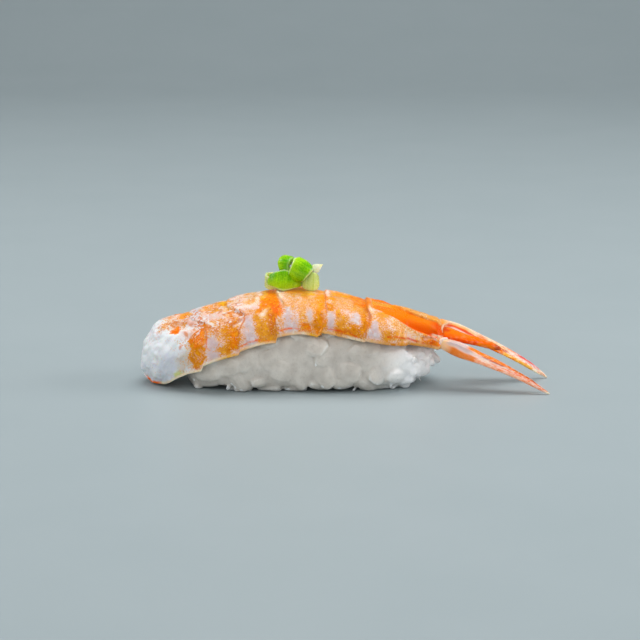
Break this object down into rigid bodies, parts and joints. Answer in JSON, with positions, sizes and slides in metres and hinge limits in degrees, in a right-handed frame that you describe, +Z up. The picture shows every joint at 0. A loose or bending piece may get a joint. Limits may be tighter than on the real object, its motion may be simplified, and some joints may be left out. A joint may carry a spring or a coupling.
{
  "type": "shrimp nigiri sushi",
  "caption": "Cooked shrimp with its tail shell on, draped over a pressed block of rice and topped with sliced spring onion.",
  "frame": {"origin": "middle of the object's box, on the surface that the rice stands on", "axes": "+X from the shrimp's head end towards its tail, +Y across it, away from the side that the tail bends to, +Z up"},
  "size_m": [0.0891, 0.0279, 0.0287],
  "materials": {
    "rice": "moist, translucent cooked rice",
    "shrimp_flesh": "moist cooked flesh, white with mottled orange bands",
    "tail_shell": "glossy thin shell, orange to cream",
    "onion_green": "glossy, moist, ribbed green",
    "onion_pale": "glossy, moist, pale yellow-green"
  },
  "bodies": {
    "root": {"rice": "rice", "shrimp_flesh": "shrimp_flesh", "telson": "tail_shell", "near_exopod": "tail_shell", "near_endopod": "tail_shell", "far_exopod": "tail_shell", "far_endopod": "tail_shell", "onion_front": "onion_green", "onion_upper": "onion_green", "onion_knot": "onion_green", "onion_left": "onion_pale", "onion_right": "onion_pale", "onion_sliver": "onion_pale"}
  },
  "joints": []
}
